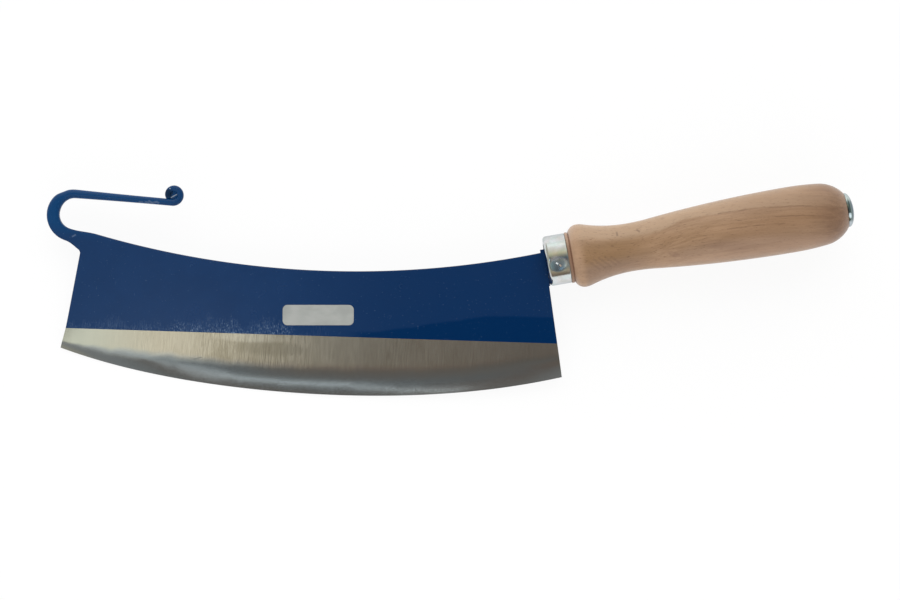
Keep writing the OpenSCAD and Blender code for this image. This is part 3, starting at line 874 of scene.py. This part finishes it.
def lacquer_material():
    """Blue lacquer with a little dust and pale drag marks at the grind line; a darker zone by the heel
    is a painted reflection, the lighter hook painted light, the dark scroll eye painted shade.
    """
    net, pos = new_material("blue_lacquer", (0, 42, 86))
    x, y, z = net.split(pos)
    near = net.step(z, 0, 0.5)
    grind_zero = toe.y + GRIND_TOE_H - grind_rise * toe.x
    above = net.minus(y, net.scaled(x, grind_rise, grind_zero))
    mottle = net.noise(pos, (0.07, 0.07, 0.07), 4, 0.6)
    net.lay((1, 45, 90), (mottle, 0.3, 0.7))
    net.lay((0, 41, 84), (x, *HEEL_SHADE))
    # Painted reflection: a darker blue zone by the heel, under a wavy edge that rises towards the heel,
    # stands in for the dark side of a mirrored edge; it is also a little glossier
    wave = net.scaled(net.noise(pos, (0.06, 0, 0), 3), 3, above)
    wave = net.minus(wave, net.step(x, *DARK_REFLECTION_RISE, 3.8, 13.8))
    heel_dark_reflection = net.times((wave, 0.8, -0.8), (x, *DARK_REFLECTION_START))
    net.lay((0, 38, 79), heel_dark_reflection)
    # Lighter blue on the hook: painted light, standing in for the brighter light that the hook's bend
    # catches
    hook = net.times((x, *HOOK_X), (y, *HOOK_Y))
    net.lay((4, 60, 106), hook, 0.8)
    dense = net.times((x, *DENSE_START), (x, *DENSE_END))
    tall = net.step(net.noise(pos, (0.11, 0, 0), 4, 0.65), 0.36, 0.64, 1.5, 9.5)
    tall = net.scaled(dense, 2.5, tall)
    low = net.step(net.math("DIVIDE", above, tall), 0.1, 1, 1, 0)
    low = net.times(low, (x, *DRAG_END))
    patches = net.step(net.noise(pos, (0.09, 0.06, 0.1), 3), 0.42, 0.6)
    streaks = net.step(net.noise(pos, (7, 0.25, 0.3), 3, 0.6), 0.5, 0.7)
    drag = net.times(streaks, low, (patches, 0, 1, 0.15, 1))
    net.lay((112, 142, 176), drag, 0.3)
    specks = net.step(net.noise(pos, (2.4, 0.9, 0.9), 3, 0.65), 0.55, 0.68)
    specks = net.times(specks, low, (dense, 0, 1, 0.22, 0.8))
    net.lay((138, 160, 186), specks)
    dust = net.step(net.noise(pos, (1.9, 1.9, 1.9), 0), 0.8, 0.86)
    net.lay((120, 145, 170), dust, 0.3)
    # Painted shade: the scroll's eye and the inner end of its tip darkened, as shade in the recess
    eye_shade_c = scroll_c + EYE_SHADE_OFF
    scroll_eye_shade = net.plus(net.squared(x, eye_shade_c.x), net.squared(y, eye_shade_c.y))
    scroll_eye_shade = net.scaled(net.noise(pos, (0.7, 0.7, 0.7), 3), 5, scroll_eye_shade)
    net.lay((5, 18, 34), (scroll_eye_shade, 3.6, 9.5, 0.7, 0))
    net.marks(net.stroke, (x, y), photo_point, LACQUER_STROKES, near)
    rough = net.scaled(drag, 0.25, net.scaled(mottle, 0.08, 0.22))
    rough = net.scaled(heel_dark_reflection, -0.08, rough)
    shine = net.times((x, *SHINE_FALL, 0.4, 0.28), (heel_dark_reflection, 0, 1, 1, 0.35))
    peel = net.noise(pos, (0.9, 0.9, 0.9), 2)
    shine = net.scaled(hook, -0.15, shine)
    return net.surface(rough, peel, 0.007, {"IOR": 1.5, "Specular IOR Level": shine})


# Stretches of the steel along X, as above
SMOOTH_TOE, COARSE_END, HEEL_GREY, TOE_PALE = (-176, -150), (-98, -130), (-60, 5), (-175, -225)
BLUISH_TOE, HONED_LATER = (-110, -150), (-176, -200)
PITTED_START, PITTED_END = (-196, -170), (-50, -80)

# Marks on the near bevel, by pixels: a stain, a rubbed band above it, a scratch
STEEL_PATCHES = (
    (((226, 345), (312, 351)), 4.6, 0.36, (128, 119, 100)),
    (((206, 335.4), (298, 339.6)), 3, 0.4, (238, 230, 212)),
)
STEEL_STROKES = ((((194.6, 358.8), (201.4, 357.2)), 0.45, 0.6, (92, 84, 72)),)


def steel_material():
    """Ground steel: fine lines across the bevel, stained by its middle, smoother on the roll."""
    net, pos = new_material("ground_steel", (170, 160, 140))
    hone = net.attribute("hone", "Fac")
    x, y, z = net.split(pos)
    near = net.step(z, 0, 0.2)
    lines = net.noise(pos, (2.1, 0.13, 0.13), 3, 0.7)
    fine = net.noise(pos, (8, 0.2, 0.2), 3, 0.6)
    broad = net.noise(pos, (0.04, 0.03, 0.03), 3)
    past_toe = net.step(x, *SMOOTH_TOE)
    coarse = net.times(past_toe, (x, *COARSE_END))
    swing = net.times(net.minus(lines, 0.5), (coarse, 0, 1, 0.35, 2))
    tone = net.plus(swing, net.scaled(broad, 0.3, 0.35))
    net.lay((220, 211, 192), (tone, 0.2, 0.8))
    stain = net.noise(pos, (0.2, 0.06, 0.06), 5, 0.7)
    stain = net.step(net.scaled(lines, 0.5, net.times(stain, 0.5)), 0.4, 0.62)
    net.lay((144, 130, 99), stain, coarse, 0.42)
    net.lay((166, 164, 158), (x, *HEEL_GREY, 0, 0.4))
    net.lay((196, 202, 192), (x, *TOE_PALE, 0, 0.6))
    streaked = net.times(near, (lines, 0.35, 0.6, 0.55, 1))
    net.marks(net.patch, (x, y), photo_point, STEEL_PATCHES, streaked)
    net.marks(net.stroke, (x, y), photo_point, STEEL_STROKES, near)
    honed = net.step(hone, 0, 0.4)
    bluish = net.most(net.step(hone, 0.35, 0.65), net.step(x, *BLUISH_TOE))
    net.base = net.mix(honed, net.base, net.mix(bluish, colour(197, 194, 188), colour(191, 197, 199)))
    speck = net.step(net.noise(pos, (2.4, 0.9, 0.9), 3, 0.6), 0.4, 0.62)
    later = net.minus(hone, net.step(x, *HONED_LATER, 0, 0.4))
    rough = net.scaled(lines, 0.02, net.step(later, 0, 0.36, 0.2, 0.08))
    rough = net.scaled(net.times(speck, honed), 0.05, rough)
    depth = net.times((honed, 0, 1, 1, 0.3), net.scaled(past_toe, 0.55, 0.45))
    height = net.times(net.scaled(fine, 0.4, lines), depth)
    pits = net.noise(pos, (1.5, 0.6, 0.6), 3, 0.65)
    pitted = net.times((x, *PITTED_START), (x, *PITTED_END), (hone, 0.3, 0.6))
    height = net.scaled(net.times(pits, pitted), 0.8, height)
    across = net.add("ShaderNodeTangent", direction_type="UV_MAP", uv_map=GRAIN).outputs[0]
    return net.surface(rough, height, 0.007, {"Metallic": 1, "Anisotropic": 0.6, "Tangent": across})


# How high over the handle's axis the marks of the turned pieces are
CAP_RISE, DENT_RISE, WOOD_RISE = 5, 12, 11

# Marks on the zinc, all painted light: a painted highlight at the punch's point, a painted warm
# reflection and an orange painted glint in the dent, a painted highlight on the cap
PUNCH_HIGHLIGHT, PUNCH_W = ((556.9, 263.2), (557.3, 263.5)), 0.62
DENT_PAINTED_REFLECTIONS = (
    (((549, 260.2), (561, 257.6)), 1.3, 0.32, (150, 128, 120)),
    (((559.2, 264.2), (561.8, 266.6)), 0.55, 0.7, (206, 172, 134)),
)
CAP_PAINTED_HIGHLIGHT = ((((849.2, 212), (850.2, 219.2)), 0.9, 0.9, (230, 249, 255)),)
ZINC_EDGE = (0.74, 0.76, 0.78, 1)


def at_rise(rise):
    """Function from a pixel, at a height, to the axis frame's station and distance across."""
    def place(px, py):
        return photo_point(px, py, rise) @ Matrix.Rotation(HANG, 2)
    return place


def zinc_material():
    """Bright zinc plating with painted light: a blue painted reflection in the punched dent, painted
    reflections and a highlight on the cap's dome, a highlight at the punch's point.
    """
    net, pos = new_material("zinc", (206, 208, 204))
    s, t, z = net.split(pos)
    near = net.step(z, 0, 1)
    bloom = net.noise(pos, (0.16, 0.22, 0.22), 3, 0.55, 0.4)
    speck = net.noise(pos, (2.2, 2.2, 2.2), 4, 0.6)
    hue = net.noise(pos, (0.3, 0.3, 0.3), 3)
    net.lay((222, 225, 228), (bloom, 0.3, 0.7))
    net.lay((190, 216, 208), (hue, 0.45, 0.65, 0, 0.25))
    net.lay((226, 208, 202), (hue, 0.55, 0.35, 0, 0.18))
    dent_z = FERRULE_R * cos(DENT_TURN)
    dent = net.plus(net.squared(s, DENT_AT), net.squared(t, -FERRULE_R * sin(DENT_TURN)))
    dent = net.times((dent, 16.5, 8), (z, dent_z - 4, dent_z - 2))
    # Blue-grey in the dent: painted reflection; the dent is also rougher
    net.lay((142, 166, 182), dent, 0.7)
    in_dent = at_rise(DENT_RISE)
    # Painted highlight: a white, non-metal dot at the punch's point
    point = net.times(net.stroke(s, t, *[in_dent(*pixel) for pixel in PUNCH_HIGHLIGHT], PUNCH_W), near)
    net.lay((236, 240, 240), point, 0.9)
    # Painted reflections in the dent: a warm patch at its top and an orange glint below the point, laid
    # as non-metal
    dent_reflections = net.marks(net.patch, (s, t), in_dent, DENT_PAINTED_REFLECTIONS, near)
    at_butt = net.step(s, butt_s - 1, butt_s)
    away = net.math("SQRT", net.plus(net.times(t, t), net.times(z, z)))
    # Painted reflections on the cap: darker grey all over, dark in the dome's middle, pale at its upper
    # and lower rims
    net.lay((118, 131, 130), at_butt)
    net.lay((62, 88, 106), at_butt, (away, 7.4, 5.6))
    net.lay((196, 207, 204), at_butt, (t, 3, 5.5), (away, 5.5, 7))
    net.lay((186, 195, 200), at_butt, (t, -4.5, -6.5), (away, 6, 7.2))
    on_cap = net.times(at_butt, near)
    # Painted highlight: a pale, non-metal spot low on the cap's dome
    cap_highlight = net.marks(net.patch, (s, t), at_rise(CAP_RISE), CAP_PAINTED_HIGHLIGHT, on_cap)
    # The painted highlights and reflections are laid as non-metal, so that their colours show
    painted_light_marks = point
    for mark in dent_reflections + cap_highlight:
        painted_light_marks = net.most(painted_light_marks, mark)
    rough = net.scaled(dent, 0.12, net.scaled(speck, 0.1, 0.1))
    metal = {"Metallic": net.minus(1, painted_light_marks), "Specular Tint": ZINC_EDGE}
    return net.surface(rough, speck, 0.006, metal)


# Marks on the wood: clouds on the belly, flecks behind the collar, two small knots
CLOUD, KNOT = (122, 88, 68), (96, 70, 54)
WOOD_CLOUDS = (
    (((688, 242.5), (767, 246)), 3, 0.32, CLOUD),
    (((706, 246), (752, 250.5)), 2.2, 0.2, CLOUD),
    (((666, 252.6), (682, 255.8)), 1.5, 0.5, CLOUD),
)
WOOD_FLECKS = [(ends, 0.8, 0.28, (112, 82, 62)) for ends in (
    ((590, 262.5), (600, 269.5)),
    ((593.5, 259.5), (605, 268)),
    ((599, 258), (611, 266.5)),
    ((605, 257), (616, 264.5)),
    ((611, 257), (620, 263)),
)]
WOOD_KNOTS = (
    (((617, 232.6), (617.4, 235)), 0.75, 0.5, KNOT),
    (((637.6, 230.2), (639.2, 231.2)), 0.75, 0.5, KNOT),
)

# Lines along the rings, as stations where they start and end and their level
RING_LINES, RING_LINE_W = ((84, 143, 8.5), (92, 134, 3.9), (87, 114, 0.4)), 0.5
RING_DIP, RING_DROOP, DROOP_FROM = 3.4, 0.0021, 85


def beech_material():
    """Turned beech: rings that dip at the neck and droop at the butt, dark dashes, a pale spine side,
    painted shade towards the butt and in the cut by the collar.
    """
    net, pos = new_material("beech", (142, 109, 77))
    s, t, z = net.split(pos)
    near = net.step(z, 0, 2)
    on_wood = at_rise(WOOD_RISE)
    dip = net.times((s, 14, 40), (s, 72, 46), RING_DIP)
    past = net.most(net.minus(s, DROOP_FROM), 0)
    level = net.plus(t, net.scaled(net.times(past, past), RING_DROOP, dip))
    rings = net.add("ShaderNodeCombineXYZ", {0: s, 1: level, 2: z}).outputs[0]
    streaks = net.noise(rings, (0.03, 0.6, 0.6), 4, 0.65, 0.6)
    soft = net.noise(rings, (0.035, 0.16, 0.16), 3, 0.5)
    dashes = net.step(net.noise(rings, (0.42, 2.3, 2.3), 2, 0.55), 0.585, 0.68)
    pores = net.step(net.noise(rings, (2, 9, 9), 1, 0.5), 0.6, 0.75)
    tone = net.scaled(streaks, 0.6, net.times(soft, 0.4))
    net.lay((168, 134, 102), (tone, 0.3, 0.7))
    ragged = net.scaled(net.noise(rings, (0.06, 0.1, 0.1), 4, 0.65), 3, level)
    pale = net.step(ragged, net.step(s, 70, 40, 9.6, 7.4), 10.8)
    pale = net.times(pale, (s, 60, 110, 0.6, 0.5), (s, 112, 136, 1, 0.3))
    net.lay((177, 149, 120), pale)
    heart = net.step(ragged, 10.8, 9.6, 0.7, 1)
    net.lay((138, 103, 73), (s, 65, 115, 0, 0.5), heart)
    low = net.times((level, -3, -8), (s, 45, 70))
    net.lay((160, 131, 112), low, 0.3)
    back = net.times((s, collar_s + 3, collar_s + 7), (s, 60, 30), near)
    olive = net.times(back, (t, 7, 3), (t, -8, -3))
    net.lay((136, 102, 64), olive, 0.6)
    net.lay((132, 104, 84), back, (t, -3, -8), 0.6)
    streaked = net.times(near, (streaks, 0.3, 0.65, 1, 0.55))
    net.marks(net.patch, (s, t), on_wood, WOOD_CLOUDS, streaked)
    net.marks(net.stroke, (s, t), on_wood, WOOD_FLECKS, near)
    ticks = net.step(net.noise(rings, (0.16, 0.1, 0.1), 4, 0.65), 0.4, 0.62, 0.12, 0.6)
    bent = net.scaled(net.noise(rings, (0.12, 0, 0), 3, 0.6), 1.2, level)
    bent = net.minus(bent, 0.6)
    for start, end, at in RING_LINES:
        mark = net.stroke(s, bent, Vector((start, at)), Vector((end, at)), RING_LINE_W)
        net.lay((116, 84, 58), mark, near, ticks)
    often = net.step(s, 40, 110, 0.55, 0.35)
    net.lay((108, 76, 48), dashes, often)
    net.lay((110, 80, 56), pores, 0.14)
    net.marks(net.stroke, (s, t), on_wood, WOOD_KNOTS, near)
    # Painted shade: darker towards the butt, where it turns from the light, broken up by the streaks
    butt_painted_shade = net.times((s, 122, 142), heart, (streaks, 0.3, 0.7, 0.8, 0.5))
    net.lay((111, 79, 58), butt_painted_shade)
    front = net.step(s, collar_s + 7, collar_s + 1)
    net.lay((180, 145, 118), front, 0.35)
    collar = net.step(s, collar_s, collar_s - GROOVE_W)
    net.lay((146, 116, 97), collar, 0.45)
    net.lay((116, 82, 58), collar, (t, 9, 3), 0.6)
    # Dark line in the cut by the collar: partly a burnt line, partly painted shade in the crease
    burn_and_crease_shade = net.step(net.size(net.minus(s, collar_s - GROOVE_W / 2)), 0.2, 0.6, 1, 0)
    net.lay((122, 80, 50), burn_and_crease_shade, 0.75)
    height = net.minus(net.times(streaks, 0.5), net.plus(dashes, net.times(pores, 0.6)))
    sheen = {"Sheen Weight": 0.45, "Sheen Roughness": 0.4, "Sheen Tint": (1, 0.96, 0.93, 1)}
    return net.surface(net.scaled(streaks, 0.12, 0.42), height, 0.02, sheen)


def label_material():
    """Silver-white film with a fine tooth."""
    net, pos = new_material("label_film", (152, 155, 151))
    tooth = net.noise(pos, (5, 5, 5), 3)
    cloud = net.noise(pos, (0.12, 0.2, 0.2), 3)
    net.lay((166, 168, 164), (cloud, 0.3, 0.7))
    return net.surface(net.scaled(tooth, 0.15, 0.4), tooth, 0.008)


zinc = zinc_material()
blade_finishes = [lacquer_material(), steel_material(), zinc]
make_piece("forged_blade", build_blade, tool_place, blade_finishes, "blade")
make_piece("pressed_ferrule", build_ferrule, axis_place, [zinc], "ferrule")
make_piece("turned_handle", build_handle, axis_place, [beech_material()], "handle")
make_piece("domed_cap", build_cap, axis_place, [zinc], "butt_cap")
make_piece("bare_label", build_label, tool_place, [label_material()])


# Camera, floor, light

WHITE = (1, 1, 1, 1)

photo_right = (tool_x * cos(PHOTO_TURN) + tool_y * sin(PHOTO_TURN)).normalized()
photo_up = cheek_way.cross(photo_right)
photo_turn = Matrix((photo_right, photo_up, cheek_way)).transposed().to_4x4()


def photo_place(right, up, away):
    """Row-frame place by its offsets, in metres, from the tool's zero in the photograph's view."""
    at = tool_zero + photo_right * right + photo_up * up + cheek_way * away
    return Matrix.Translation(at) @ photo_turn


def make_camera():
    data = bpy.data.cameras.new("camera")
    data.sensor_width = SENSOR_W
    data.lens = SENSOR_W * CAMERA_AWAY / (PHOTO_WIDTH * PHOTO_SCALE * MM)
    camera = add_to_scene("camera", data)
    x, y = (PHOTO_MIDDLE - PHOTO_ZERO) * PHOTO_SCALE * MM
    camera.matrix_world = photo_place(x, -y, CAMERA_AWAY)
    bpy.context.scene.camera = camera


FLOOR_HALF = 6
FLOOR_COLOUR = (0.95, 0.95, 0.95, 1)
FLOOR_GLOW = 0.9


def background_ray(net):
    """1 for the rays that should see a white background: camera, glossy and transmission rays."""
    path = net.add("ShaderNodeLightPath").outputs
    shown = net.most(path["Is Camera Ray"], path["Is Glossy Ray"])
    return net.most(shown, path["Is Transmission Ray"])


def make_floor():
    mesh = bpy.data.meshes.new("floor")
    mesh.from_pydata([(x * FLOOR_HALF, y * FLOOR_HALF, 0) for x, y in CORNERS], [], [(0, 1, 2, 3)])
    material = bpy.data.materials.new("pale_floor")
    net = Net(material)
    matt = net.add("ShaderNodeBsdfDiffuse", {"Color": FLOOR_COLOUR})
    glow = net.add("ShaderNodeEmission", {"Color": WHITE, "Strength": 1})
    share = net.times(background_ray(net), FLOOR_GLOW)
    both = net.add("ShaderNodeMixShader", {0: share, 1: matt.outputs[0], 2: glow.outputs[0]})
    net.add("ShaderNodeOutputMaterial", {"Surface": both.outputs[0]})
    mesh.materials.append(material)
    add_to_scene("floor", mesh)


# What glossy surfaces mirror, from the edge's side (-1) over the zenith (0) to the spine's side (1)
TENT = (
    (-1, 0.14, 0.11, 0.09),
    (-0.93, 0.2, 0.16, 0.12),
    (-0.8, 0.42, 0.38, 0.27),
    (-0.55, 0.26, 0.26, 0.25),
    (-0.45, 0.25, 0.255, 0.252),
    (-0.395, 0.205, 0.207, 0.2),
    (-0.345, 0.165, 0.142, 0.124),
    (-0.29, 0.155, 0.17, 0.175),
    (-0.19, 0.165, 0.16, 0.155),
    (-0.12, 0.226, 0.176, 0.168),
    (-0.06, 0.12, 0.115, 0.105),
    (0, 0.06, 0.065, 0.07),
    (0.1, 0.09, 0.095, 0.1),
    (0.28, 0.3, 0.29, 0.24),
    (0.5, 0.7, 0.64, 0.44),
    (0.74, 0.8, 0.79, 0.72),
    (0.86, 0.9, 0.92, 0.9),
    (0.95, 1.15, 1.2, 1.15),
    (1, 0.95, 0.97, 0.97),
)
LEFT_WALL, RIGHT_WALL = (0.5, 0.48, 0.42, 1), (0.32, 0.38, 0.37, 1)
OVERHEAD, HEEL_TINT = (0.55, 0.88, 1.14, 1), (1, 0.94, 0.91, 1)
OVERHEAD_AT = 0.015

# What lights matt surfaces: the level overhead, what both sides add, what is left by the butt
MATT_LEVEL, SPINE_LIGHT, EDGE_LIGHT, BUTT_LIGHT = 0.45, 1.9, 1.65, 0.65


def make_world():
    """A tent of light: what lights matt surfaces and what glossy ones mirror are set apart."""
    world = bpy.data.worlds.new("tent")
    bpy.context.scene.world = world
    net = Net(world)
    way = net.add("ShaderNodeTexCoord").outputs["Generated"]
    path = net.add("ShaderNodeLightPath").outputs
    spineward = net.vector("DOT_PRODUCT", way, tuple(photo_up), 1)
    buttward = net.vector("DOT_PRODUCT", way, tuple(photo_right), 1)
    matt = net.scaled(net.step(spineward, 0.15, 0.85), SPINE_LIGHT, MATT_LEVEL)
    matt = net.scaled(net.step(spineward, -0.15, -0.85), EDGE_LIGHT, matt)
    matt = net.times(matt, (buttward, 0.2, 0.9, 1, BUTT_LIGHT))
    tent = net.add("ShaderNodeValToRGB", {0: net.scaled(spineward, 0.5, 0.5)})
    stops = tent.color_ramp.elements
    for i, (at, *tint) in enumerate(TENT):
        stop = stops[i] if i < 2 else stops.new(1)
        stop.position = (at + 1) / 2
        stop.color = (*tint, 1)
    heelward = net.times((buttward, -0.035, 0.03), (spineward, -0.15, -0.22))
    mirrored = net.vector("MULTIPLY", tent.outputs[0], net.mix(heelward, WHITE, HEEL_TINT))
    overhead = net.size(net.minus(spineward, OVERHEAD_AT))
    lift = net.times((buttward, -0.01, -0.07), (overhead, 0.105, 0.04))
    mirrored = net.mix(lift, mirrored, OVERHEAD)
    mirrored = net.mix(net.step(buttward, -0.2, -0.6), mirrored, LEFT_WALL)
    mirrored = net.mix(net.step(buttward, 0.25, 0.6), mirrored, RIGHT_WALL)
    seen = net.mix(path["Is Glossy Ray"], matt, mirrored)
    seen = net.mix(path["Is Camera Ray"], seen, WHITE)
    light = net.add("ShaderNodeBackground", {"Color": seen, "Strength": 1})
    net.add("ShaderNodeOutputWorld", {"Surface": light.outputs[0]})


# Soft cards over the blade: right, up, away, width, height, turn in degrees, radiance, tint
CARDS = {
    "warm_card": (-0.271, -0.1155, 0.38, 0.24, 0.063, 33, 0.8, (0.96, 1, 0.93)),
    "warm_glow": (-0.276, -0.122, 0.39, 0.25, 0.12, 33, 0.27, (0.96, 1, 0.95)),
    "strip_toe": (-0.226, -0.2185, 0.5, 0.05, 0.04, 29, 0.33, (0.94, 0.99, 1)),
    "strip_middle": (-0.16, -0.2135, 0.5, 0.11, 0.0125, 6, 0.58, (0.92, 0.99, 1)),
    "strip_heel": (-0.064, -0.233, 0.5, 0.096, 0.011, -22.5, 0.58, (0.92, 0.99, 1)),
}


def make_card(name, right, up, away, w, h, turn, radiance, tint):
    """A card of light that is seen only in reflections; its level is its radiance."""
    data = bpy.data.lights.new(name, "AREA")
    data.shape = "RECTANGLE"
    data.size = w
    data.size_y = h
    data.energy = radiance * pi * w * h
    data.color = tint
    lamp = add_to_scene(name, data)
    lamp.matrix_world = photo_place(right, up, away) @ Matrix.Rotation(radians(turn), 4, "Z")
    lamp.visible_camera = False
    lamp.visible_diffuse = False


make_camera()
make_floor()
make_world()
for card_name, card in CARDS.items():
    make_card(card_name, *card)

bpy.context.scene.view_settings.view_transform = "Standard"
